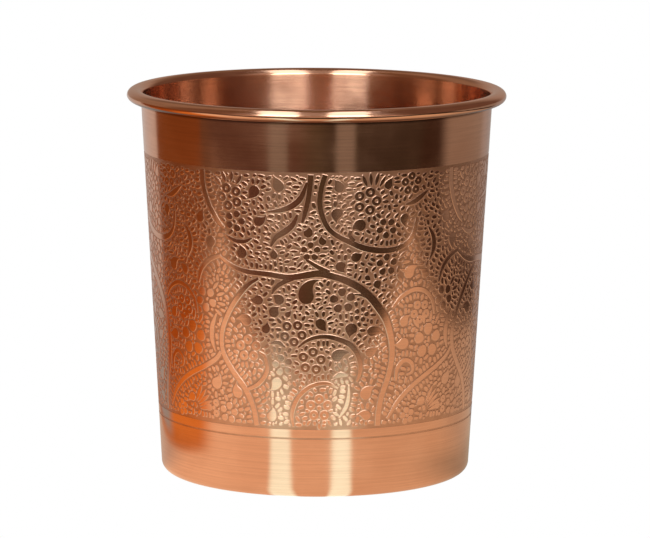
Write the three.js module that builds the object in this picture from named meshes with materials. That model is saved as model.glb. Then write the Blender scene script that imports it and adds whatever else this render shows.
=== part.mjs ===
// A copper tumbler made the tinsmith's way: a tapered wall whose top edge is rolled round a wire and whose
// foot is turned inward, a pan for a floor seated on that foot, and a fillet of braze that seals the two.
// Millimetres, +Z up, origin at the middle of the foot on the surface that the tumbler stands on.
import * as THREE from 'three';

// The vessel
const height = 82.4;             // standing surface to the crest of the rim
const rimRadius = 40.5;          // outermost line of the rim bead
const footRadius = 33.0;         // outer face of the wall, carried down to the standing surface
const sheet = 0.6;               // copper sheet of the wall and the pan

// The rolled rim
const wireDiameter = 1.3;
const wireClearance = 0.1;       // between the wire and the sheet curled round it
const beadOval = 0.85;           // how much wider than high the bead is pressed
const curlGap = 0.15;            // between the cut edge of the curl and the wall

// The foot
const footCorner = 2.0;          // outer radius where the wall turns inward
const flangeWidth = 5.0;         // flat of the foot, from its corner inward

// The base pan
const panGap = 0.1;              // film of filler between the pan and the wall that it sits in
const panEdge = 3.2;             // straight of the upturned edge, above its corner
const panelRadius = 22.0;        // flat of the raised centre
const panelStep = 2.4;           // width of the slope down from it
const panelRise = 0.8;           // height of the raised centre

// The braze fillet
const brazeClearance = 0.05;     // between the fillet and the two pieces it joins
const brazeRise = 1.1;           // how far it climbs the wall

// Facets
const segments = 72;             // round the axis, alike on every piece so that nested walls stay parallel
const bendSteps = 5;             // along a sheet's corner
const curlSteps = 18;            // along the rim's curl
const wireSides = 10;
const slopeSteps = 4;            // along the pan's slope and the fillet's hollow

// The bead's section: an outer oval, and inside it the oval that leaves room for the wire
const beadHeight = wireDiameter + 2 * (wireClearance + sheet);
const beadWidth = beadHeight + beadOval;
const bead = new THREE.Vector2(rimRadius - beadWidth / 2, height - beadHeight / 2);
const outerOval = new THREE.Vector2(beadWidth / 2, beadHeight / 2);
const innerOval = outerOval.clone().subScalar(sheet);

// The wall runs from the foot to the bead's inner side: its taper, its run upward and its outward normal
const wallTop = bead.x - innerOval.x;
const taper = Math.atan2(wallTop - footRadius, bead.y);
const upWall = new THREE.Vector2(Math.sin(taper), Math.cos(taper));
const outOfWall = new THREE.Vector2(Math.cos(taper), -Math.sin(taper));

// Every bend at the foot shares this centre, so wall and pan nest with one gap all the way round the corner
const bendCentre = new THREE.Vector2(
  footRadius + footCorner * Math.tan(taper) - footCorner / Math.cos(taper),
  footCorner,
);

// A point at a distance out of the foot's bend centre, square to the wall, and at a distance up the wall
function besideWall(out, up) {
  return bendCentre.clone().addScaledVector(outOfWall, out).addScaledVector(upWall, up);
}

// Points along an oval arc, both ends included; angles in radians from the outward direction
function arc(centre, radii, from, to, steps) {
  const points = [];
  for (let i = 0; i <= steps; i++) {
    const angle = from + ((to - from) * i) / steps;
    points.push(new THREE.Vector2(
      centre.x + radii.x * Math.cos(angle),
      centre.y + radii.y * Math.sin(angle),
    ));
  }
  return points;
}

// The round corner of a sheet at the foot, from the standing side up to the wall
function footBend(radius) {
  return arc(bendCentre, new THREE.Vector2(radius, radius), -Math.PI / 2, -taper, bendSteps);
}

// A closed section, listed anticlockwise with the radius to the right and +Z up, turned round the Z axis
function revolve(section, closed) {
  const points = closed ? [...section, section[0].clone()] : section;
  return new THREE.LatheGeometry(points, segments).rotateX(Math.PI / 2);
}

function copper(color, roughness) {
  return new THREE.MeshStandardMaterial({ color, roughness, metalness: 1.0 });
}

function piece(name, geometry, material) {
  const mesh = new THREE.Mesh(geometry, material);
  mesh.name = name;
  return mesh;
}

// The wall: flange, corner, outer face, the curl round the wire and its cut edge, and back down inside
function wallGeometry() {
  const flangeEdge = bendCentre.x - flangeWidth;
  const cutEdge = -Math.acos(-(innerOval.x - curlGap) / outerOval.x);
  return revolve([
    new THREE.Vector2(flangeEdge, 0),
    ...footBend(footCorner),
    ...arc(bead, innerOval, Math.PI, cutEdge, curlSteps),
    ...arc(bead, outerOval, cutEdge, Math.PI, curlSteps),
    ...footBend(footCorner - sheet).reverse(),
    new THREE.Vector2(flangeEdge, sheet),
  ], true);
}

// The wire, lying in the middle of the curl
function wireGeometry() {
  const radii = new THREE.Vector2(wireDiameter / 2, wireDiameter / 2);
  return revolve(arc(bead, radii, 0, 2 * Math.PI, wireSides), false);
}

// One face of the pan's floor from the axis out to the corner, at the height of that face beside the corner
function panFloor(level) {
  const points = [new THREE.Vector2(0, level + panelRise)];
  for (let i = 0; i <= slopeSteps; i++) {
    const share = i / slopeSteps;
    const fall = (1 - Math.cos(Math.PI * share)) / 2;
    points.push(new THREE.Vector2(panelRadius + panelStep * share, level + panelRise * (1 - fall)));
  }
  return points;
}

// The pan: underside, corner, upturned edge, and back along the floor that the drink stands on
function panGeometry() {
  const outside = footCorner - sheet - panGap;
  const inside = outside - sheet;
  return revolve([
    ...panFloor(sheet + panGap),
    ...footBend(outside),
    besideWall(outside, panEdge),
    besideWall(inside, panEdge),
    ...footBend(inside).reverse(),
    ...panFloor(sheet + panGap + sheet).reverse(),
  ], false);
}

// The fillet of braze on the pan's edge, with a hollow face from the pan up to the wall
function brazeGeometry() {
  const atWall = footCorner - sheet - brazeClearance;
  const atPan = footCorner - sheet - panGap - sheet;
  const hollow = [];
  for (let i = 0; i <= slopeSteps; i++) {
    const turn = (Math.PI / 2) * (i / slopeSteps);
    hollow.push(besideWall(
      atWall - (atWall - atPan) * (1 - Math.sin(turn)),
      panEdge + brazeClearance + brazeRise * (1 - Math.cos(turn)),
    ));
  }
  const heel = besideWall(atWall, panEdge + brazeClearance);
  return revolve([heel, ...hollow.reverse()], true);
}

const tumbler = new THREE.Group();
tumbler.add(
  piece('wall', wallGeometry(), copper(0xb5683f, 0.22)),
  piece('rim_wire', wireGeometry(), copper(0xa86a44, 0.4)),
  piece('base_pan', panGeometry(), copper(0xb26a45, 0.3)),
  piece('base_braze', brazeGeometry(), copper(0xb9974f, 0.45)),
);

export default tumbler;
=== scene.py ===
"""A copper tumbler with an etched band of scrolling flowers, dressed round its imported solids.

The wall, the pan, the braze and the wire are turned again with fine round faces. The etched band is cut as
the real one is: its ground lies lower than the wall and is matte, and every stem, leaf, petal and seed is an
island of polished wall left standing on it. Lengths are in millimetres until a mesh is made.
"""
import math

import bpy
import numpy as np
from mathutils import Matrix, Vector


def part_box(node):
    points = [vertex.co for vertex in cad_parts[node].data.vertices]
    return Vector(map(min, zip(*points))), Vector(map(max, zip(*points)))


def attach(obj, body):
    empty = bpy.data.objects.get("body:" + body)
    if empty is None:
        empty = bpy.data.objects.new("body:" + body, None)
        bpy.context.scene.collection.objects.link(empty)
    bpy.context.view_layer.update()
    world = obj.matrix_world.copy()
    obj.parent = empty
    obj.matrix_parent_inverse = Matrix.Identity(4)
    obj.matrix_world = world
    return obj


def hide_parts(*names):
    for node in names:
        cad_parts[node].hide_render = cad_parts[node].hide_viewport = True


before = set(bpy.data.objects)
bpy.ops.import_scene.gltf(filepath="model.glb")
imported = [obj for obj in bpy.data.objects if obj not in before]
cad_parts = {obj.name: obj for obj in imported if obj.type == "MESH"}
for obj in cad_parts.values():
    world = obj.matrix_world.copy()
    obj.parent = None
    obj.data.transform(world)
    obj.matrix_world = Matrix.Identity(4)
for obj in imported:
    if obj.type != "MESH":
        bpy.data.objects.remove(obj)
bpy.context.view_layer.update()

MM = 0.001

# The vessel, as its solids have it
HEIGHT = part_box("wall")[1].z / MM
RIM_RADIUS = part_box("wall")[1].x / MM
FOOT_RADIUS = 33.0
SHEET = 0.6
WIRE = 1.3
WIRE_CLEARANCE = 0.1
BEAD_OVAL = 0.85
CURL_GAP = 0.15
FOOT_CORNER = 2.0
FLANGE_WIDTH = 5.0
PAN_GAP = 0.1
PAN_EDGE = 3.2
PANEL_RADIUS = 22.0
PANEL_STEP = 2.4
PANEL_RISE = 0.8
BRAZE_CLEARANCE = 0.05
BRAZE_RISE = 1.1

# The bead's and the curl's half widths and heights, the wall's slope and the centre of the foot's bends
BEAD = (WIRE / 2 + WIRE_CLEARANCE + SHEET + BEAD_OVAL / 2, WIRE / 2 + WIRE_CLEARANCE + SHEET)
BEAD_AT = (RIM_RADIUS - BEAD[0], HEIGHT - BEAD[1])
CURL = (BEAD[0] - SHEET, BEAD[1] - SHEET)
TAPER = math.atan2(BEAD_AT[0] - CURL[0] - FOOT_RADIUS, BEAD_AT[1])
UP_WALL = np.array([math.sin(TAPER), math.cos(TAPER)])
OUT_OF_WALL = np.array([math.cos(TAPER), -math.sin(TAPER)])
BEND_AT = np.array([
    FOOT_RADIUS + FOOT_CORNER * math.tan(TAPER) - FOOT_CORNER / math.cos(TAPER),
    FOOT_CORNER,
])

SEGMENTS = 360    # round the axis
MAP_EDGE = 0.05   # share of a turned piece's map that is kept for each of its middles

# The etched band, in height above the standing surface
ETCH_DEPTH = 0.05
RULE_WIDTH = 0.38
LOWER_RULE = 12.8
UPPER_RULE = 14.9
BAND_TOP = 69.2

# The ornament is drawn on a flat sheet, across at this radius and up from the standing surface, and it
# repeats round the wall. Islands end a little inside the band, and the gaps between them are etched.
DRAWN_RADIUS = 35.0
REPEATS = 4
REPEAT = 2 * math.pi * DRAWN_RADIUS / REPEATS
LOWEST, HIGHEST = 15.2, 68.75
STEM_GAP = 0.34       # from a motif to the first row of dashes
DASH_GAP = 0.09       # round each dash
RING_HALF = 0.32      # half width of an open petal's band
HEART = 0.45          # radius of an open flower's middle
THINNEST = 0.06       # half width of the finest point
SIDE_RUN = 0.2        # of an island's sloping sides
FOOTING = 0.03        # how far an island's foot lies in the ground
LEVEL_STEP = 0.0015   # between the tops of islands that may cross
LEVELS = 4

# The dashes: along each, shares of its length from its middle and of its half width
LONG_DASH = [(-0.5, 0.55), (-0.22, 1.0), (0.2, 1.0), (0.5, 0.5)]
SHORT_DASH = [(-0.5, 0.6), (0.0, 1.1), (0.5, 0.6)]
DASHES = [
    ("scroll_hatching", 1.3, 0.34, LONG_DASH),
    ("scroll_dashes", 0.8, 0.31, SHORT_DASH),
    ("scroll_seeds", 0.45, 0.24, SHORT_DASH),
]
MANY = 500            # strokes in a quarter, from which a piece is made as a front and a back half

# Cells on which free places for the dashes are looked for
CELL = 0.1
SHEET_FOOT = 14.5
CELLS_ACROSS = round(REPEAT / CELL)
CELL_ACROSS = REPEAT / CELLS_ACROSS
CELLS_UP = math.ceil((BAND_TOP - SHEET_FOOT) / CELL)


def arc(centre, radii, start, end, steps):
    """Points of an oval arc: the centre plus the two radii times the cosine and sine of an even sweep."""
    angle = np.linspace(start, end, steps + 1)
    return np.column_stack([centre[0] + radii[0] * np.cos(angle), centre[1] + radii[1] * np.sin(angle)])


def foot_bend(radius, steps=12):
    """The round corner at the foot, from flat on the standing side up to the wall's own slope."""
    return arc(BEND_AT, (radius, radius), -math.pi / 2, -TAPER, steps)


def beside_wall(out, up):
    """A point so far out of the foot's bend centre, square to the wall, and so far up along the wall."""
    return BEND_AT + out * OUT_OF_WALL + up * UP_WALL


def wall_radius(height):
    """Radius of the wall's outer face: the foot's radius plus the height times the taper's slope."""
    return FOOT_RADIUS + height * math.tan(TAPER)


def on_face(height, depth=0.0):
    """A section point on the outer face at a height, sunk by a depth square to the face."""
    return np.array([wall_radius(height), height]) - depth * OUT_OF_WALL


def new_mesh(name, vertices, *faces, smooth=True):
    """A mesh object at the origin, from points in millimetres and arrays of faces. The faces of one array
    have the same number of corners. The smooth flag is one for all, or one for each face."""
    mesh = bpy.data.meshes.new(name)
    mesh.vertices.add(len(vertices))
    mesh.vertices.foreach_set("co", (np.asarray(vertices) * MM).astype(np.float32).ravel())
    corners = np.concatenate([group.ravel() for group in faces]).astype(np.int32)
    sizes = np.concatenate([np.full(len(group), group.shape[1]) for group in faces])
    mesh.loops.add(len(corners))
    mesh.loops.foreach_set("vertex_index", corners)
    mesh.polygons.add(len(sizes))
    mesh.polygons.foreach_set("loop_start", (np.cumsum(sizes) - sizes).astype(np.int32))
    mesh.polygons.foreach_set("use_smooth", np.broadcast_to(smooth, len(sizes)))
    mesh.update(calc_edges=True)
    mesh.validate()
    made = bpy.data.objects.new(name, mesh)
    bpy.context.scene.collection.objects.link(made)
    return made


def lay_out(piece, places):
    """The piece's own map, for baking, from one place for each face corner."""
    layer = piece.data.uv_layers.new(name="OFBake")
    layer.data.foreach_set("uv", places.astype(np.float32).ravel())


def revolve(name, section, kind=None, segments=SEGMENTS):
    """A section (radius, height) turned round +Z: point (i, j) is section point j at angle i. Each face joins
    it to the next angle and the next section point, so an anticlockwise section faces outward. A section
    that starts and ends on the axis closes there with triangles round two single points; another closes on
    itself. The map has the angle across and the length along the section up."""
    section = np.asarray(section)
    poled = section[0, 0] == 0
    ring = section[1:-1] if poled else section
    count = len(ring)
    angle = np.linspace(0, 2 * math.pi, segments, endpoint=False)[:, None]
    level = np.broadcast_to(ring[:, 1], (segments, count))
    grid = np.stack([ring[:, 0] * np.sin(angle), -ring[:, 0] * np.cos(angle), level], -1).reshape(-1, 3)
    i, j = np.meshgrid(np.arange(segments), np.arange(count - poled), indexing="ij")
    here, turn = i * count, (i + 1) % segments * count
    step = (j + 1) % count
    faces = [np.stack([here + j, turn + j, turn + step, here + step], -1).reshape(-1, 4)]
    length = np.concatenate([[0], np.cumsum(np.linalg.norm(np.roll(ring, -1, axis=0) - ring, axis=1))])
    run = MAP_EDGE + (1 - 2 * MAP_EDGE) * length / length[-1]
    across = np.stack([i, i + 1, i + 1, i], -1) / segments
    up = np.stack([run[j], run[j], run[j + 1], run[j + 1]], -1)
    places = np.stack([across, up], -1).reshape(-1, 2)
    if poled:
        i = np.arange(segments)
        here, turn = i * count, (i + 1) % segments * count
        first, last = np.full((2, segments), [[len(grid)], [len(grid) + 1]])
        faces.append(np.stack([first, turn, here], -1))
        faces.append(np.stack([here + count - 1, turn + count - 1, last], -1))
        grid = np.concatenate([grid, [[0, 0, section[0, 1]], [0, 0, section[-1, 1]]]])
        for corners, heights in (((i + 0.5, i + 1, i), (0, MAP_EDGE, MAP_EDGE)),
                                 ((i, i + 1, i + 0.5), (1 - MAP_EDGE, 1 - MAP_EDGE, 1))):
            across = np.stack(corners, -1) / segments
            up = np.broadcast_to(heights, across.shape)
            places = np.concatenate([places, np.stack([across, up], -1).reshape(-1, 2)])
    made = new_mesh(name, grid, *faces)
    made.data.set_sharp_from_angle(angle=math.radians(30))
    if kind is not None:
        made.data.polygons.foreach_set("material_index", np.tile(kind, segments).astype(np.int32))
    lay_out(made, places)
    return made


def wall_section():
    """The wall's section, anticlockwise from the flange's edge, and the kind of each of its faces: 0
    polished, 1 etched ground, 2 spun inside. A point just beside each bend keeps the straight stretches
    shaded straight."""
    straight_from, outer_to, inner_to = 2.3, BEAD_AT[1] - 0.5, BEAD_AT[1] - 1.4
    edge = BEND_AT[0] - FLANGE_WIDTH
    cut = -math.acos(-(CURL[0] - CURL_GAP) / BEAD[0])
    half = RULE_WIDTH / 2
    face, etched = [on_face(straight_from)], []
    for low, high in [(LOWER_RULE - half, LOWER_RULE + half), (UPPER_RULE - half, BAND_TOP)]:
        face += [on_face(low), on_face(low, ETCH_DEPTH), on_face(high, ETCH_DEPTH), on_face(high)]
        etched.append(len(face))
    face.append(on_face(outer_to))
    parts = [
        [[edge, 0.0]],
        foot_bend(FOOT_CORNER),
        face,
        arc(BEAD_AT, CURL, math.pi, cut, 40),
        arc(BEAD_AT, BEAD, cut, math.pi, 40),
        [on_face(inner_to, SHEET), on_face(straight_from, SHEET)],
        foot_bend(FOOT_CORNER - SHEET)[::-1],
        [[edge, SHEET]],
    ]
    start = np.cumsum([len(part) for part in parts])
    section = np.concatenate(parts)
    kind = np.zeros(len(section), int)
    for last in etched:
        kind[start[1] + last - 4:start[1] + last - 1] = 1
    kind[start[4] - 2:-1] = 2
    return section, kind


def pan_floor(level, steps=12):
    """One face of the pan's floor out from the raised flat's edge: half a cosine wave down to the rest."""
    share = np.linspace(0, 1, steps + 1)
    fall = (1 - np.cos(math.pi * share)) / 2
    return np.column_stack([PANEL_RADIUS + PANEL_STEP * share, level + PANEL_RISE * (1 - fall)])


def pan_section():
    """The pan's section from the middle of its underside, round its edge, to the middle of its upper face."""
    outside = FOOT_CORNER - SHEET - PAN_GAP
    inside = outside - SHEET
    edge = np.array([beside_wall(outside, PAN_EDGE), beside_wall(inside, PAN_EDGE)])
    below, above = SHEET + PAN_GAP, SHEET + PAN_GAP + SHEET
    return np.concatenate([[[0.0, below + PANEL_RISE]], pan_floor(below), foot_bend(outside), edge,
                           foot_bend(inside)[::-1], pan_floor(above)[::-1], [[0.0, above + PANEL_RISE]]])


def braze_section():
    """The fillet's section: a heel on the pan's edge and a hollow quarter oval up to the wall."""
    at_wall = FOOT_CORNER - SHEET - BRAZE_CLEARANCE
    at_pan = FOOT_CORNER - SHEET - PAN_GAP - SHEET
    turn = np.linspace(math.pi / 2, 0, 9)
    out = at_wall - (at_wall - at_pan) * (1 - np.sin(turn))
    up = PAN_EDGE + BRAZE_CLEARANCE + BRAZE_RISE * (1 - np.cos(turn))
    hollow = BEND_AT + out[:, None] * OUT_OF_WALL + up[:, None] * UP_WALL
    return np.concatenate([[beside_wall(at_wall, PAN_EDGE + BRAZE_CLEARANCE)], hollow])


def on_wall(flat, depth=0.0):
    """Points of the drawn sheet (across, up) laid round the wall's outer face, sunk by a depth square to
    it."""
    turn = flat[..., 0] / DRAWN_RADIUS
    radius = wall_radius(flat[..., 1]) - depth * math.cos(TAPER)
    height = flat[..., 1] + depth * math.sin(TAPER)
    return np.stack([radius * np.sin(turn), -radius * np.cos(turn), height], -1)


def through(points, count=64):
    """A smooth stroke through points of (across, up, half width): between two of them it is the cubic whose
    slope at each is half the step from the point before to the point after."""
    points = np.asarray(points, float)
    ends = np.vstack([2 * points[0] - points[1], points, 2 * points[-1] - points[-2]])
    where = np.linspace(0, len(points) - 1, count)
    stretch = np.minimum(where.astype(int), len(points) - 2)
    t = (where - stretch)[:, None]
    a, b, c, d = (ends[stretch + k] for k in range(4))
    path = b + ((c - a) * t + (2 * a - 5 * b + 4 * c - d) * t**2 + (3 * b - a - 3 * c + d) * t**3) / 2
    path[:, 2] = np.maximum(path[:, 2], THINNEST)
    return path


def drops(rows, head_steps=7, tail_steps=13):
    """Buds: a round head and a tail that turns over. Round the head the half width is the circle's; along
    the tail it falls as the cosine of a quarter turn, and the heading turns evenly with the length."""
    across, up, radius, length, heading, turn = np.array(rows, float).T[:, :, None]
    heading, turn = np.radians(heading), np.radians(turn + 0.01)    # a straight tail would divide by zero
    round_head = np.linspace(0.08, math.pi / 2, head_steps)[None, :-1]
    share = np.linspace(0, 1, tail_steps)[None, :]
    bend = length / turn
    head = [across - radius * np.cos(round_head) * np.cos(heading),
            up - radius * np.cos(round_head) * np.sin(heading),
            radius * np.sin(round_head)]
    tail = [across + bend * (np.sin(heading + turn * share) - np.sin(heading)),
            up - bend * (np.cos(heading + turn * share) - np.cos(heading)),
            np.maximum(radius * np.cos(share * math.pi / 2) ** 1.7, THINNEST)]
    return np.concatenate([np.stack(head, -1), np.stack(tail, -1)], axis=1)


def leaves(rows, count=14):
    """Narrow leaves: each runs straight from (across, up) at a heading for a length, and its half width
    swells and closes again as the sine of half a turn."""
    across, up, length, heading, half = np.array(rows, float).T[:, :, None]
    share = np.linspace(0, 1, count)[None, :]
    heading = np.radians(heading)
    swell = np.maximum(half * np.sin(math.pi * share) ** 0.7, THINNEST)
    run = length * share
    return np.stack([across + run * np.cos(heading), up + run * np.sin(heading), swell], -1)


def fan(across, up, inner, outer, first, last, count, half):
    """Rows for leaves that spread from one point between two headings."""
    heading = np.linspace(first, last, count)
    turned = np.radians(heading)
    return [(across + inner * math.cos(t), up + inner * math.sin(t), outer - inner, h, half)
            for t, h in zip(turned, heading)]


def petals(rows, count=12):
    """Full petals round each flower's middle: along a petal the half width is a circle's, a little more
    outward."""
    share = np.cos(np.linspace(math.pi - 0.25, 0.25, count))
    made = []
    for across, up, number, distance, radius, turn in rows:
        heading = np.radians(turn + 360 / number * np.arange(number))[:, None]
        reach = distance + radius * share
        half = radius * np.sqrt(1 - share**2) * (0.92 + 0.16 * share) + 0 * heading
        made.append(np.stack([across + reach * np.cos(heading), up + reach * np.sin(heading), half], -1))
    return np.concatenate(made)


def rings(rows, count=18):
    """Open petals: a closed band round each petal's own middle, with the etched ground showing inside."""
    turned = np.linspace(0, 2 * math.pi, count, endpoint=False)
    made = []
    for across, up, number, distance, radius, turn in rows:
        heading = np.radians(turn + 360 / number * np.arange(number))[:, None]
        middle = radius - RING_HALF
        made.append(np.stack([across + distance * np.cos(heading) + middle * np.cos(turned),
                              up + distance * np.sin(heading) + middle * np.sin(turned),
                              RING_HALF + 0 * heading + 0 * turned], -1))
    return np.concatenate(made)


def dots(rows, count=6):
    """Round dots, as short strokes whose half width is a circle's."""
    across, up, radius = np.array(rows, float).T[:, :, None]
    share = np.cos(np.linspace(math.pi - 0.3, 0.3, count))[None, :]
    return np.stack([across + radius * share, up + 0 * share, radius * np.sqrt(1 - share**2)], -1)


# One quarter of the ornament, placed after the photo, in millimetres and degrees.
# Stems and crescents: points of (across, up, half width)
STEMS = [
    [(13.9, 15.3, .55), (14.0, 18, .55), (14.6, 21.5, .55), (16.0, 25.5, .55), (16.8, 30, .6),
     (16.4, 34, .65), (15.1, 37.8, .75), (13.3, 40.5, .8), (11.6, 42.6, .8), (9.4, 44.6, .75),
     (6.5, 46.3, .75), (3.8, 47.3, .7), (0.7, 48.0, .72), (-2, 47.6, .7), (-5.5, 47.1, .62),
     (-9.7, 47.6, .55), (-14.4, 47.9, .5), (-17.6, 48.8, .4), (-20.6, 50.6, .25)],
    [(-12.8, 15.3, .5), (-13.5, 19, .5), (-15.4, 23, .52), (-18.2, 26.4, .52), (-20.5, 30.2, .5),
     (-20.7, 34.4, .48), (-19.0, 38.6, .48), (-16.8, 42, .48), (-14.2, 45.0, .4), (-11.8, 46.6, .25)],
    [(-1.0, 68.7, .55), (-1.2, 66, .5), (-1.5, 63.5, .5), (-2.1, 60.8, .45), (-2.7, 58.6, .25)],
    [(1.8, 68.7, .5), (1.0, 65.5, .5), (0.8, 62.5, .5), (1.4, 59.8, .5), (2.6, 57.4, .5),
     (4.5, 55.8, .52), (6.8, 54.6, .56), (9.9, 53.2, .62), (13.4, 52.5, .6), (16.5, 52.6, .55),
     (19.2, 53.6, .48), (20.9, 55.6, .4), (21.6, 58.9, .25)],
    [(7.1, 57.0, .38), (6.9, 55.9, .38), (7.8, 54.7, .4)],
    [(-1.9, 50.9, .3), (0.4, 49.4, .45), (2.8, 48.2, .5)],
    [(-4.4, 46.9, .4), (-6.6, 46.0, .5), (-8.2, 44.8, .4), (-9.0, 43.4, .15)],
    [(7.6, 43.5, .15), (9.4, 43.3, .25), (11.2, 42.6, .35)],
    [(-3.6, 32.3, .2), (-1.8, 33.7, .34), (0.3, 34.5, .42), (2.6, 34.6, .46), (4.9, 34.0, .52),
     (7.2, 32.9, .55), (8.8, 31.0, .52), (9.6, 28.7, .46), (9.5, 26.6, .36), (8.9, 24.9, .15)],
    [(7.2, 24.2, .15), (7.2, 21.8, .36), (6.6, 19.4, .4), (5.2, 17.3, .15)],
    [(16.2, 16.6, .2), (18.6, 20.0, .42), (21.8, 22.8, .48), (25.4, 24.9, .5), (29.2, 26.7, .5),
     (32.3, 28.5, .45), (33.8, 30.2, .4)],
    [(17.9, 24.6, .25), (18.2, 27.2, .4), (20.0, 28.8, .42), (21.9, 27.9, .38), (22.0, 26.2, .3),
     (20.7, 25.6, .2)],
    [(16.6, 40.2, .25), (18.6, 42.4, .35), (21.6, 43.7, .42), (24.6, 43.1, .4), (26.8, 41.0, .35),
     (27.6, 38.0, .2)],
    [(-24.4, 68.7, .5), (-24.2, 65.2, .5), (-22.9, 61.4, .48), (-21.0, 58.4, .42), (-19.4, 56.8, .2)],
    [(-15.2, 22.6, .3), (-12.2, 24.2, .42), (-10.3, 27.0, .4), (-10.6, 29.9, .3), (-12.0, 31.0, .15)],
    [(-26.6, 44.6, .2), (-25.6, 47.4, .4), (-23.4, 49.6, .44), (-20.4, 50.8, .3)],
    [(-4.6, 15.4, .2), (-4.9, 18.2, .38), (-3.6, 21.6, .42), (-0.9, 24.0, .4), (2.4, 24.7, .32),
     (4.9, 23.6, .15)],
]

CRESCENTS = [
    [(-1.7, 67.2, .2), (-2.9, 64.0, .55), (-4.5, 62.3, .62), (-6.9, 61.2, .5), (-9.8, 60.7, .15)],
    [(-3.6, 60.4, .2), (-4.6, 58.2, .55), (-6.2, 56.7, .66), (-8.0, 55.4, .5), (-9.1, 53.4, .15)],
    [(24.2, 64.5, .15), (22.4, 63.3, .5), (20.6, 62.3, .5), (18.8, 61.9, .15)],
    [(-13.1, 55.0, .15), (-14.8, 54.2, .4), (-17.0, 54.3, .4), (-19.2, 55.4, .15)],
    [(3.9, 25.9, .15), (5.4, 26.5, .5), (7.0, 26.3, .15)],
    [(-9.4, 32.9, .15), (-7.8, 33.2, .45), (-6.2, 32.2, .15)],
    [(24.8, 56.6, .15), (26.2, 54.4, .5), (26.4, 52.0, .5), (25.4, 49.6, .15)],
    [(-22.0, 38.4, .15), (-23.2, 35.6, .5), (-23.4, 32.8, .5), (-22.6, 30.2, .15)],
]

# Buds: (across, up, radius, length of the tail, heading, turn of the tail)
BUDS = [
    (-1.9, 43.1, 1.6, 5.6, 100, -105), (-7.4, 66.1, 1.15, 2.6, 105, 20),
    (-1.5, 56.5, .95, 1.6, 60, 50), (1.4, 54.7, .75, 1.5, 120, -40), (8.9, 58.0, 1.25, 2.0, 185, 60),
    (14.7, 66.2, .85, 2.0, 75, -30), (8.2, 51.3, 1.0, 1.8, 20, 30), (5.1, 49.4, 1.1, 1.6, 285, 40),
    (-15.4, 51.7, 1.1, 2.0, 80, 50), (-8.5, 51.6, .8, 1.5, 80, 30), (-7.5, 42.3, 1.1, 1.8, 130, 40),
    (-8.6, 39.6, 1.1, 1.8, 70, -50), (-5.7, 39.2, .6, 1.2, 45, 20), (1.1, 37.4, 1.1, 2.3, -65, 25),
    (7.5, 36.1, 1.3, 1.9, 250, 20), (12.0, 35.5, 1.05, 3.0, 8, -45), (11.6, 31.0, .95, 2.4, 20, 25),
    (4.6, 30.5, 1.2, 3.2, 45, -75), (12.9, 45.4, .85, 1.3, -70, 10), (10.7, 46.9, .55, 1.0, -40, 0),
    (-11.9, 42.0, 1.0, 2.2, 200, -50), (-14.7, 37.6, 1.2, 2.6, 150, 60),
    (-10.4, 35.9, .9, 1.8, 60, 40), (20.2, 47.4, 1.2, 2.8, 60, -60), (24.4, 46.8, .9, 2.0, 120, 50),
    (19.6, 32.4, 1.15, 2.6, 200, -40), (-17.2, 21.9, 1.1, 2.4, 120, -50),
    (-22.6, 23.4, 1.2, 2.6, 40, 60), (10.9, 22.2, 1.2, 2.8, 60, -50), (11.2, 17.6, 1.0, 2.2, 150, 50),
    (-8.2, 24.6, 1.1, 2.4, 250, -50), (-9.4, 17.4, 1.05, 2.2, 60, 50), (18.6, 59.0, .95, 2.0, 260, 40),
    (-22.8, 53.6, 1.1, 2.4, 250, 50), (-25.4, 58.4, 1.0, 2.2, 80, -40), (4.6, 66.0, 1.0, 2.2, 100, 40),
    (4.2, 60.6, 1.1, 2.2, 250, 40), (-12.4, 65.0, 1.1, 2.4, 250, -40), (-11.6, 58.6, 1.0, 2.2, 20, 40),
    (25.0, 19.6, .9, 1.9, 200, 30), (19.4, 37.0, 1.0, 2.2, 70, -60),
]

# Flowers with full petals and with open ones: (across, up, petals, distance of the petals'
# middles, radius of a petal, heading of the first)
FULL_FLOWERS = [
    (5.6, 42.2, 5, 1.8, .92, 95), (-1.0, 52.6, 5, 1.35, .7, 90), (14.9, 49.4, 5, 1.6, .76, 20),
    (14.6, 57.2, 5, 1.5, .74, 50), (-16.8, 58.4, 5, 1.5, .76, 0), (26.0, 32.4, 5, 2.5, 1.25, 18),
    (-24.6, 41.2, 5, 1.8, .9, 50), (-6.9, 28.4, 5, 1.5, .76, 30), (-19.6, 17.4, 5, 1.5, .76, 10),
    (9.6, 39.2, 5, 1.1, .55, 0),
]

OPEN_FLOWERS = [
    (10.3, 63.0, 5, 1.95, 1.02, 0), (-4.6, 35.3, 5, 1.9, 1.0, 60), (-0.7, 29.4, 5, 1.95, 1.02, 10),
    (20.0, 66.2, 5, 1.6, .85, 20), (-17.8, 63.4, 5, 1.9, 1.0, 40), (23.6, 38.9, 5, 1.7, .9, 50),
    (-14.4, 31.6, 5, 1.9, 1.0, 20), (0.9, 19.4, 5, 1.9, 1.0, 90), (21.2, 16.8, 5, 1.2, .66, 30),
    (-23.6, 18.0, 3, 1.3, .8, 60),
]

# Leaves, in fans from one point: (across, up, inner and outer end, first and last heading, number,
# half width)
LEAVES = (
    fan(11.4, 63.2, 3.1, 5.7, 62, 112, 4, .34) + fan(25.2, 17.0, 2.2, 6.2, 10, 62, 5, .4)
    + fan(15.4, 49.4, 2.9, 5.0, -50, 60, 5, .3) + fan(-17.8, 63.4, 3.2, 5.4, 60, 130, 4, .34)
    + fan(-1.0, 52.4, 2.4, 4.2, 150, 230, 4, .28) + fan(-24.6, 41.2, 3.0, 5.0, -40, 50, 4, .34)
    + fan(26.0, 32.4, 4.0, 6.4, 60, 130, 4, .38) + fan(0.9, 19.4, 3.2, 4.6, 200, 340, 5, .3)
)


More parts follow.
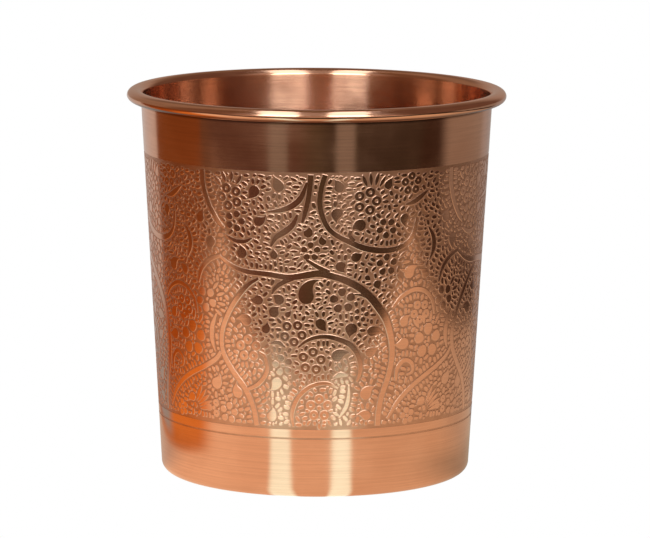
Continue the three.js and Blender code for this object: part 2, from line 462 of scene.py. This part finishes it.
def unit(step):
    """Each step divided by its own length."""
    return step / np.maximum(np.linalg.norm(step, axis=-1, keepdims=True), 1e-9)


def left_of(step):
    """The direction square to each step, to the left of it: (across, up) becomes (minus up, across)."""
    return unit(np.stack([-step[..., 1], step[..., 0]], -1))


def cell_at(points):
    """The cell that each point of the drawn sheet lies in; the sheet closes on itself across."""
    across = np.floor(points[:, 0] / CELL_ACROSS).astype(int) % CELLS_ACROSS
    up = np.clip(((points[:, 1] - SHEET_FOOT) / CELL).astype(int), 0, CELLS_UP - 1)
    return across, up


def cells_of(strokes):
    """Cells of the drawn sheet that the strokes cover. Between two points of a stroke, and across it, the
    samples lie less than a cell apart."""
    between = np.linspace(0, 1, 9)[:-1, None, None, None]
    path = strokes[None, :, :-1] * (1 - between) + strokes[None, :, 1:] * between
    left = left_of(strokes[:, 1:, :2] - strokes[:, :-1, :2])
    side = np.linspace(-1, 1, 2 * int(strokes[..., 2].max() / CELL) + 3)[:, None, None, None, None]
    at = path[None, ..., :2] + left * path[None, ..., 2:] * side
    return cell_at(at.reshape(-1, 2))


def distance_to(taken):
    """Millimetres from each cell to the nearest taken one: first straight up or down, then for each shift
    across the root of the squares' sum, keeping the least."""
    cell = np.arange(CELLS_UP)[None, :]
    below = np.maximum.accumulate(np.where(taken, cell, -CELLS_UP), axis=1)
    above = np.minimum.accumulate(np.where(taken, cell, 2 * CELLS_UP)[:, ::-1], axis=1)[:, ::-1]
    squared = np.minimum(cell - below, above - cell).astype(float) ** 2
    least = squared.copy()
    for shift in range(1, CELLS_ACROSS // 6):
        for way in (shift, -shift):
            least = np.minimum(least, np.roll(squared, way, axis=0) + shift**2)
    return CELL * np.sqrt(least)


def hatching(free, away, length, half, chance):
    """Dashes laid side by side in rows round the motifs. Each stands square to the nearest motif, on the row
    that its distance from it is nearest to. One that finds its place free is kept, and tries its two
    neighbours. Half of the free cells are tried as a start."""
    outward = unit(np.stack(np.gradient(away), -1))
    sample = CELL * 0.9
    along, beside = np.meshgrid(np.arange(-length / 2 - DASH_GAP, length / 2 + DASH_GAP + CELL, sample),
                                np.arange(-half - DASH_GAP, half + DASH_GAP + CELL, sample))
    along, beside = along.ravel(), beside.ravel()
    inner = (abs(along) <= length / 2) & (abs(beside) <= half)
    row, pitch = length + DASH_GAP, 2 * half + DASH_GAP
    starts = np.argwhere(free)
    chance.shuffle(starts)
    placed = []
    for start in starts[:len(starts) // 2]:
        waiting = [((start[0] + 0.5) * CELL_ACROSS, SHEET_FOOT + (start[1] + 0.5) * CELL)]
        while waiting:
            x, z = waiting.pop()
            i, j = int(x // CELL_ACROSS) % CELLS_ACROSS, int((z - SHEET_FOOT) / CELL)
            if not 0 <= j < CELLS_UP or not free[i, j]:
                continue
            nx, nz = outward[i, j]
            rank = max(round((away[i, j] - STEM_GAP - length / 2) / row), 0)
            shift = STEM_GAP + length / 2 + rank * row - away[i, j]
            x, z = x + nx * shift, z + nz * shift
            points = np.column_stack([x + along * nx - beside * nz, z + along * nz + beside * nx])
            if points[:, 1].min() < LOWEST or points[:, 1].max() > HIGHEST:
                continue
            cells = cell_at(points)
            if not free[cells].all():
                continue
            free[cells[0][inner], cells[1][inner]] = False
            placed.append((x, z, nx, nz))
            waiting += [(x - nz * pitch, z + nx * pitch), (x + nz * pitch, z - nx * pitch)]
    return np.array(placed)


def dashes(placed, length, half, profile, chance):
    """Strokes for the placed dashes: the profile's points along each, its size and width a little varied."""
    x, z, nx, nz = placed.T[:, :, None]
    share, full = np.array(profile).T
    size = length * chance.uniform(0.82, 1.04, (len(placed), 1))
    full = full * half * chance.uniform(0.85, 1.1, (len(placed), 1))
    return np.stack([x + nx * size * share, z + nz * size * share, full], -1)


def quads(*corners):
    """Faces from the four corners' numbers, as one row that each island's own first number is added to."""
    return np.stack(np.broadcast_arrays(*corners), -1).reshape(1, -1, 4)


def island_faces(count, points, columns, closed):
    """The tops and the other faces of islands, each of which has first its top's points, point by column, and
    then its foot's in the same order. The others are the foot, turned over, the two long sides and, on an
    open stroke, the two ends."""
    base = np.arange(count)[:, None, None] * 2 * points * columns
    foot, last, end = points * columns, columns - 1, (points - 1) * columns
    i = np.arange(points if closed else points - 1)[:, None]
    here, after = i * columns, (i + 1) % points * columns
    j = np.arange(columns - 1)[None, :]
    top = quads(here + j, after + j, after + j + 1, here + j + 1)
    others = [foot + top[..., ::-1],
              quads(here, foot + here, foot + after, after),
              quads(here + last, after + last, foot + after + last, foot + here + last)]
    if not closed:
        others.append(quads(j, j + 1, foot + j + 1, foot + j))
        others.append(quads(end + j, foot + end + j, foot + end + j + 1, end + j + 1))
    return (base + top).reshape(-1, 4), (base + np.concatenate(others, axis=1)).reshape(-1, 4)


def raise_islands(name, strokes, columns=3, closed=False, turns=range(REPEATS)):
    """Islands of polished wall, repeated round it. Across a stroke, column k of the top lies at its centre
    plus the left-hand normal times the half width times a share from -1 to 1. The foot, sunk in the ground,
    is wider by the run of the sloping sides. Tops differ in height by a few thousandths, so that those that
    cross don't flicker. The tops are shaded with the wall's own normal, the rest flat. The map is the drawn
    sheet."""
    strokes = np.concatenate([strokes + [REPEAT * turn, 0, 0] for turn in turns])
    count, points = strokes.shape[:2]
    if closed:
        step = (np.roll(strokes, -1, axis=1) - np.roll(strokes, 1, axis=1))[..., :2]
    else:
        step = np.gradient(strokes[..., :2], axis=1)
    left, share = left_of(step)[:, :, None], np.linspace(-1, 1, columns)[:, None]
    middle, half = strokes[:, :, None, :2], strokes[:, :, None, 2:]
    flat = middle + left * half * share
    spread = middle + left * (half + SIDE_RUN) * share
    if not closed:
        ahead = unit(step) * SIDE_RUN
        spread[:, 0] -= ahead[:, :1]
        spread[:, -1] += ahead[:, -1:]
    sunk = LEVEL_STEP * (np.arange(count) % LEVELS)[:, None, None]
    vertices = np.stack([on_wall(flat, sunk), on_wall(spread, ETCH_DEPTH + FOOTING)], axis=1)
    tops, others = island_faces(count, points, columns, closed)
    faces = np.concatenate([tops, others])
    is_top = np.arange(len(faces)) < len(tops)
    made = new_mesh(name, vertices.reshape(-1, 3), faces, smooth=is_top)
    made.data.polygons.foreach_set("material_index", (~is_top).astype(np.int32))

    drawn = np.repeat(flat.reshape(count, 1, -1, 2), 2, axis=1).reshape(-1, 2)[faces.ravel()]
    turn = drawn[:, 0] / DRAWN_RADIUS
    out, rise = OUT_OF_WALL
    normals = np.stack([out * np.sin(turn), -out * np.cos(turn), np.full(len(turn), rise)], -1)
    normals[tops.size:] = 0
    made.data.normals_split_custom_set(normals)
    lay_out(made, (drawn + [REPEAT, 0]) / [(REPEATS + 1) * REPEAT, HEIGHT])
    return made


class Value:
    """A node's output that takes part in arithmetic; each operator adds its Math node."""

    def __init__(self, finish, socket):
        self.finish, self.socket = finish, socket

    def math(self, operation, *values):
        return self.finish.node("ShaderNodeMath", {"operation": operation}, dict(enumerate(values)))

    def __add__(self, other):
        return self.math("ADD", self, other)

    def __sub__(self, other):
        return self.math("SUBTRACT", self, other)

    def __rsub__(self, other):
        return self.math("SUBTRACT", other, self)

    def __neg__(self):
        return self.math("MULTIPLY", self, -1)

    def __mul__(self, other):
        return self.math("MULTIPLY", self, other)

    def __truediv__(self, other):
        return self.math("DIVIDE", self, other)

    __radd__, __rmul__ = __add__, __mul__


class Finish:
    """A material, or the world, and its nodes."""

    def __init__(self, name, kind="materials"):
        self.material = getattr(bpy.data, kind).new(name)
        self.material.use_nodes = True
        self.tree = self.material.node_tree
        self.tree.nodes.clear()

    def node(self, kind, settings, inputs, output=0):
        """Any node, from its type, its settings, and the values or links of its sockets."""
        made = self.tree.nodes.new(kind)
        for key, value in settings.items():
            setattr(made, key, value)
        for key, value in inputs.items():
            if isinstance(value, Value):
                self.tree.links.new(value.socket, made.inputs[key])
            else:
                made.inputs[key].default_value = value
        return Value(self, made.outputs[output] if made.outputs else None)

    def place(self, output="Object"):
        """Where on the object this is; for the world, the direction looked in."""
        return self.node("ShaderNodeTexCoord", {}, {}, output)

    def noise(self, size, detail=2.0, stretch=(1, 1, 1), roughness=0.5):
        """Noise whose features are about this size, in millimetres, stretched along the object's axes."""
        scale = tuple(1 / (size * MM * s) for s in stretch)
        vector = self.node("ShaderNodeMapping", {}, {"Vector": self.place(), "Scale": scale})
        return self.node("ShaderNodeTexNoise", {}, {"Vector": vector, "Scale": 1.0, "Detail": detail,
                                                    "Roughness": roughness})

    def millimetres(self, output="Object"):
        """The three parts of the place, in millimetres."""
        parts = self.node("ShaderNodeSeparateXYZ", {}, {0: self.place(output)})
        return [Value(self, socket) / MM for socket in parts.socket.node.outputs]

    def spread(self, value, low, high, to_low=0.0, to_high=1.0):
        """The value's stretch from low to high laid smoothly on to the new one, and held beyond it."""
        return self.node("ShaderNodeMapRange", {"interpolation_type": "SMOOTHSTEP"},
                         {"Value": value, 1: low, 2: high, 3: to_low, 4: to_high})

    def blend(self, factor, first, second):
        """One colour turning into the other."""
        return self.node("ShaderNodeMix", {"data_type": "RGBA"}, {0: factor, 6: first, 7: second}, 2)

    def bump(self, height, distance):
        """The normal of a surface raised by the height's values times this many millimetres."""
        return self.node("ShaderNodeBump", {}, {"Height": height, "Distance": distance * MM, "Strength": 1.0})

    def metal(self, colour, roughness, normal, **constants):
        """The finish as bare metal."""
        shader = self.node("ShaderNodeBsdfPrincipled", {}, {
            "Metallic": 1.0, "Base Color": colour, "Roughness": roughness, "Normal": normal, **constants})
        return self.shown_by("ShaderNodeOutputMaterial", shader)

    def shown_by(self, kind, shader):
        """The finish with its output node fed by the shader."""
        self.node(kind, {}, {"Surface": shader})
        return self.material


def rgb(red, green, blue):
    """An opaque colour, in linear light."""
    return (red, green, blue, 1.0)


def polished_copper(name, line, rough, depth, tone, painted_bead_shade=False, **constants):
    """Copper polished on the lathe: fine lines run round it, so height and colour change quickly only along
    the axis. When asked, a dark line of painted shade is laid in the colour round the bottom of the rim's
    bead."""
    finish = Finish(name)
    lines = finish.noise(line, 3.0, (60, 60, 1), 0.7)
    cloud = finish.noise(9.0, 3.0)
    shade = finish.spread(lines, 0.3, 0.7, 0.93 * tone, 1.05 * tone)
    colour = finish.blend(finish.spread(cloud, 0.3, 0.7), rgb(0.80, 0.42, 0.27), rgb(0.86, 0.47, 0.31))
    colour = finish.node("ShaderNodeVectorMath", {"operation": "SCALE"}, {0: colour, "Scale": shade})
    if painted_bead_shade:
        # Painted shade: a dark line in the colour round the bottom of the rim's bead, outside its inner edge
        x, y, z = finish.millimetres()
        inner, bead = BEAD_AT[0] - BEAD[0], BEAD_AT[1] - BEAD[1]
        under = finish.spread(z, bead - 0.9, bead - 0.1) * (1 - finish.spread(z, bead + 0.3, bead + 1.0))
        outer = finish.spread(x.math("SQRT", x * x + y * y), inner, inner + 0.3)
        colour = finish.blend(under * outer, colour, rgb(0.13, 0.05, 0.022))
    roughness = finish.spread(cloud, 0.3, 0.75, rough * 0.8, rough * 1.3)
    return finish.metal(colour, roughness, finish.bump(lines, depth), **constants)


def etched_copper(name, dark, light):
    """Copper left dull and grainy by the acid: the ground, and the islands' sloping sides cut down to it,
    which are given a paler copy as a painted highlight.
    """
    finish = Finish(name)
    grain = finish.noise(0.18, 3.0)
    cloud = finish.noise(6.0)
    colour = finish.blend(finish.spread(cloud, 0.3, 0.7), dark, light)
    return finish.metal(colour, finish.spread(grain, 0.3, 0.7, 0.285, 0.35), finish.bump(grain, 0.02))


def brass_filler():
    """Brass that has flowed and set: smooth and a little dull, with a slow waviness and darker patches of
    flux."""
    finish = Finish("brass_filler")
    flow = finish.noise(2.4)
    patch = finish.spread(finish.noise(5.0, 3.0), 0.35, 0.7)
    colour = finish.blend(patch, rgb(0.70, 0.50, 0.24), rgb(0.55, 0.36, 0.17))
    return finish.metal(colour, finish.spread(flow, 0.3, 0.7, 0.3, 0.42), finish.bump(flow, 0.06))


def plain_stage(name, colour):
    """A stage surface that glows evenly on its face and is clear from behind."""
    finish = Finish(name)
    glow = finish.node("ShaderNodeEmission", {}, {"Color": colour, "Strength": 1.0})
    clear = finish.node("ShaderNodeBsdfTransparent", {}, {})
    behind = finish.node("ShaderNodeNewGeometry", {}, {}, "Backfacing")
    shown = finish.node("ShaderNodeMixShader", {}, {0: behind, 1: glow, 2: clear})
    return finish.shown_by("ShaderNodeOutputMaterial", shown)


def table_and_room():
    """What the polished wall mirrors, laid out on the plane that it stands on: a pale table round the cup,
    the dark room past the table's front edge, two painted streaks of lamp light on it, and coloured cards to
    either side. Azimuth is in degrees from the front, growing to the right; lengths are in millimetres."""
    finish = Finish("table_and_room")
    x, y, _ = finish.millimetres()
    azimuth = x.math("ARCTAN2", x, -y) * (180 / math.pi)
    reach = x.math("SQRT", x * x + y * y)

    def past(value, edge, soft):
        """From 0 to 1 as the value passes the edge, over a soft stretch centred on it."""
        return finish.spread(value, edge - soft / 2, edge + soft / 2)

    def streak(turn, half, widening):
        """A painted band of lamp light that leaves the wall square to it at this turn, so that the wall shows
        it upright.
        """
        turn = math.radians(turn)
        east, south = x - FOOT_RADIUS * math.sin(turn), -y - FOOT_RADIUS * math.cos(turn)
        along = east * math.sin(2 * turn) + south * math.cos(2 * turn)
        aside = east * math.cos(2 * turn) - south * math.sin(2 * turn)
        share = aside.math("ABSOLUTE", aside) / (half + along * widening)
        return (1 - finish.spread(share, 0.65, 1.25)) * past(along, -8, 10)

    front = past(-y, 122, 10)
    room = finish.blend(past(azimuth, -8, 20), rgb(0.11, 0.06, 0.042), rgb(0.085, 0.068, 0.042))
    room = finish.blend(past(azimuth, 6, 14), room, rgb(0.05, 0.038, 0.026))
    painted_lamp_streaks = streak(-12.6, 2.9, 0.115) + streak(9.6, 2.5, 0.115)
    faint = finish.blend(past(reach, 274, 34), rgb(0.14, 0.112, 0.088), rgb(0.24, 0.23, 0.20))

    card = past(-x, 56, 10) * past(y - 0.15 * x, -17, 22)
    glow = past(reach - 2.5 * (azimuth + 98), 132, 70)
    glow = finish.blend(glow, rgb(0.80, 0.29, 0.055), rgb(0.40, 0.105, 0.014))
    glow = finish.blend(past(reach, 222, 80), glow, rgb(0.21, 0.072, 0.02))
    glow = finish.blend(past(reach, 72, 24), rgb(0.60, 0.22, 0.055), glow)

    back = past(y + 0.88 * x, -38, 22) * past(-x, 62, 14)
    back = back + past(azimuth, 138, 10) + past(-azimuth, 166, 12)
    pale = finish.blend(past(reach, 200, 200), rgb(0.38, 0.40, 0.39), rgb(0.58, 0.54, 0.51))
    shaded = past(azimuth, 100, 40) * (1 - past(azimuth, 168, 20))
    pale = finish.blend(shaded, pale, rgb(0.36, 0.33, 0.31))
    far_front = past(reach, 560, 180) * (past(azimuth, -50, 16) * (1 - past(azimuth, 58, 16)))

    # Each layer is where it lies and its colour, and it covers those before it
    colour = finish.blend(finish.spread(azimuth, -80, 100), rgb(0.93, 0.70, 0.50), rgb(0.70, 0.54, 0.38))
    for where, layer in [
        # The table, darker to the right and to the left, with painted shade on it close by at the right
        (past(azimuth, 92, 34), rgb(0.55, 0.45, 0.34)),
        (past(-azimuth, 90, 30), rgb(0.60, 0.47, 0.37)),
        (past(azimuth, 66, 44) * (1 - past(reach, 56, 24)), rgb(0.42, 0.35, 0.26)),
        # Past the table, a dark gap at the right with grey beyond it, and brown at the left
        (past(x + 0.42 * y, 188, 30), rgb(0.045, 0.026, 0.017)),
        (past(reach, 274, 34) * past(azimuth, 90, 12), rgb(0.29, 0.25, 0.21)),
        (past(reach, 222, 36) * past(-azimuth, 66, 12), rgb(0.15, 0.08, 0.045)),
        # The dark room in front, and the painted lamp streaks, bright on the table and faint in the room
        (front, room),
        (painted_lamp_streaks * (1 - front), rgb(1.2, 1.65, 1.6)),
        (painted_lamp_streaks * front, faint),
        # The orange card at the left, the pale back of the room, and its far wall in front
        (card, glow),
        (back, pale),
        (far_front, rgb(0.60, 0.53, 0.47)),
    ]:
        colour = finish.blend(where, colour, layer)
    shine = finish.node("ShaderNodeEmission", {}, {"Color": colour, "Strength": 1.0})
    return finish.shown_by("ShaderNodeOutputMaterial", shine)


def dress(piece, slot, *finishes):
    """The piece with its finishes, on the tumbler's one body; the slot it is given is not used."""
    for material in finishes:
        piece.data.materials.append(material)
    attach(piece, "root")
    return piece


# The outside copper, with a line of painted shade under the rim's bead
outside = polished_copper("polished_copper", line=0.35, rough=0.13, depth=0.004, tone=1.0, painted_bead_shade=True)
# The inside, the pan and the wire take a darker copy of the copper (tone 0.78): painted shade inside the cup
inside = polished_copper("spun_copper", line=0.5, rough=0.2, depth=0.008, tone=0.78,
                         **{"Anisotropic": 0.85, "Anisotropic Rotation": 0.25})
ground = etched_copper("etched_copper", rgb(0.59, 0.312, 0.195), rgb(0.67, 0.367, 0.237))
# A paler copy of the etched copper for the islands' sloping sides: painted highlight along every island's
# edge
edges = etched_copper("etched_edges_painted_highlight", rgb(0.73, 0.42, 0.285), rgb(0.79, 0.475, 0.335))
filler = brass_filler()

section, kind = wall_section()
wall = dress(revolve("wall_shell", section, kind), "wall_copper", outside, ground, inside)
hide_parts("wall")

pan = dress(revolve("pan_shell", pan_section()), "pan_copper", inside)
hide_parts("base_pan")

braze = dress(revolve("braze_fillet", braze_section()), "braze_brass", filler)
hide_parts("base_braze")

wire_section = arc(BEAD_AT, (WIRE / 2, WIRE / 2), 0, 2 * math.pi, 24)[:-1]
wire = dress(revolve("wire_ring", wire_section), "wire_copper", inside)
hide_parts("rim_wire")

chance = np.random.default_rng(5)
scroll = {
    "scroll_stems": np.stack([through(points) for points in STEMS]),
    "scroll_crescents": np.stack([through(points, 24) for points in CRESCENTS]),
    "scroll_buds": drops(BUDS),
    "scroll_leaves": leaves(LEAVES),
    "scroll_petals": petals(FULL_FLOWERS),
    "scroll_hearts": dots([(across, up, HEART) for across, up, *_ in OPEN_FLOWERS]),
}
taken = np.zeros((CELLS_ACROSS, CELLS_UP), bool)
for strokes in [*scroll.values(), petals(OPEN_FLOWERS)]:
    taken[cells_of(strokes)] = True
free = ~taken
for name, length, half, profile in DASHES:
    placed = hatching(free, distance_to(~free), length, half, chance)
    scroll[name] = dashes(placed, length, half, profile, chance)

for name, strokes in scroll.items():
    if len(strokes) < MANY:
        dress(raise_islands(name, strokes), "wall_copper", outside, edges)
        continue
    for side, turns in [("_front", (0, -1)), ("_back", (1, 2))]:
        dress(raise_islands(name + side, strokes, 2, turns=turns), "wall_copper", outside, edges)
dress(raise_islands("scroll_rings", rings(OPEN_FLOWERS), 2, closed=True), "wall_copper", outside, edges)


def camera():
    """The photograph's viewpoint: a long lens a little above the rim, level but for a slight roll."""
    distance, elevation, roll = 930.7, 0.158, 0.005
    aim_height, aim_across, aim_up = 42.525, 1.957, 0.754
    focal_pixels, frame_width = 4331.9, 650
    right = Vector((1, 0, 0))
    back = Vector((0, -math.cos(elevation), math.sin(elevation)))
    up = back.cross(right)
    made = bpy.data.cameras.new("view_of_photo")
    made.sensor_width = 36.0
    made.lens = focal_pixels * made.sensor_width / frame_width
    made.clip_start, made.clip_end = 0.05, 20.0
    seen = bpy.data.objects.new("view_of_photo", made)
    bpy.context.scene.collection.objects.link(seen)
    aim = Vector((0, 0, aim_height)) + aim_across * right + aim_up * up
    across = right * math.cos(roll) + up * math.sin(roll)
    upward = up * math.cos(roll) - right * math.sin(roll)
    turn = Matrix((across, upward, back)).transposed().to_4x4()
    seen.matrix_world = Matrix.Translation((aim + back * distance) * MM) @ turn
    bpy.context.scene.camera = seen


def set_stage(piece, material, **kinds):
    """Makes a piece a stage surface of this material that only the named kinds of ray see."""
    piece.data.materials.append(material)
    for kind in ("camera", "diffuse", "glossy", "transmission", "shadow"):
        setattr(piece, "visible_" + kind, kinds.get(kind, False))


def level_plane(name, half, height):
    """A square that faces up, so far to each side of the tumbler's axis and at a height."""
    corners = np.array([(-half, -half), (half, -half), (half, half), (-half, half)], float)
    return new_mesh(name, np.column_stack([corners, np.full(4, height)]), np.arange(4)[None, :], smooth=False)


def bent_lamp(name, side, glow, path):
    """A lamp in front of the tumbler or over it, wider and further aside toward the front. Its path is
    (forward, up) in shares of the reach, from a little above the table, and it faces inward."""
    reach, above_table = 700, 80
    forward, up = np.array(path).T[:, :, None]
    middle = (0.19 + np.where(forward > 0, 0.24, 0.12) * forward) * abs(side)
    aside = middle + [[-0.12, 0.12]] * (1 + forward * 1.25)
    points = np.stack([aside * math.copysign(1, side), -forward + 0 * aside, up + 0 * aside], -1)
    k = 2 * np.arange(len(up) - 1)[:, None]
    order = [0, 2, 3, 1] if side > 0 else [1, 3, 2, 0]
    made = new_mesh(name, (points * reach + [0, 0, above_table]).reshape(-1, 3), k + order, smooth=False)
    set_stage(made, plain_stage(name, rgb(*glow)), glossy=True, diffuse=True)


def studio():
    """The room above the table: grey and brown in front, dark to either side and a little paler far round to
    the left, and brown behind, paler low down. The direction's parts are compared, so their unit doesn't
    matter."""
    finish = Finish("studio", "worlds")
    x, y, z = finish.millimetres("Generated")
    azimuth = x.math("ARCTAN2", x, -y) * (180 / math.pi)
    aside = azimuth.math("ABSOLUTE", azimuth)
    steep = z / x.math("SQRT", x * x + y * y)
    front = finish.blend(finish.spread(steep, 0.2, 0.5), rgb(0.40, 0.26, 0.18), rgb(0.38, 0.32, 0.28))
    side = finish.blend(finish.spread(azimuth, -40, 40), rgb(0.18, 0.105, 0.065), rgb(0.15, 0.09, 0.065))
    behind = finish.blend(finish.spread(steep, 0.3, 0.6), rgb(0.38, 0.295, 0.24), rgb(0.20, 0.14, 0.10))
    colour = finish.blend(finish.spread(aside, 36, 62), front, side)
    colour = finish.blend(finish.spread(azimuth, -94, -112), colour, rgb(0.30, 0.22, 0.16))
    colour = finish.blend(finish.spread(aside, 138, 160), colour, behind)
    sky = finish.node("ShaderNodeBackground", {}, {"Color": colour, "Strength": 1.0})
    bpy.context.scene.world = finish.shown_by("ShaderNodeOutputWorld", sky)


def stage():
    """The pale floor and backdrop that the camera sees, and the table and lamps that only reflections see."""
    far, white = 4000, rgb(1, 1, 1)
    set_stage(level_plane("floor", far, 0.0), plain_stage("pale_floor", white), camera=True)
    set_stage(level_plane("mirrored_table", far, -1.0), table_and_room(), glossy=True)
    angle = np.linspace(-0.5, 1, 17) * math.pi / 2
    dome = np.column_stack([np.cos(angle), np.sin(angle)])[::-1] * far
    backdrop = revolve("backdrop", np.concatenate([[[0, far]], dome[1:], [[0, -far / 3]]]), segments=48)
    set_stage(backdrop, plain_stage("pale_backdrop", white), camera=True)
    overhead = [(forward, 1.0) for forward in (1.2, 0.9, 0.5, 0.0, -0.4)]
    for name, side in (("left", -1.12), ("right", 0.95)):
        bent_lamp(name + "_front_lamp", side, (3.9, 4.1, 4.1), [(1.2, 0.12), (1.2, 1.0)])
        bent_lamp(name + "_roof_lamp", side, (2.0, 2.2, 2.3), overhead)
    studio()


camera()
stage()
bpy.context.scene.view_settings.view_transform = "Standard"
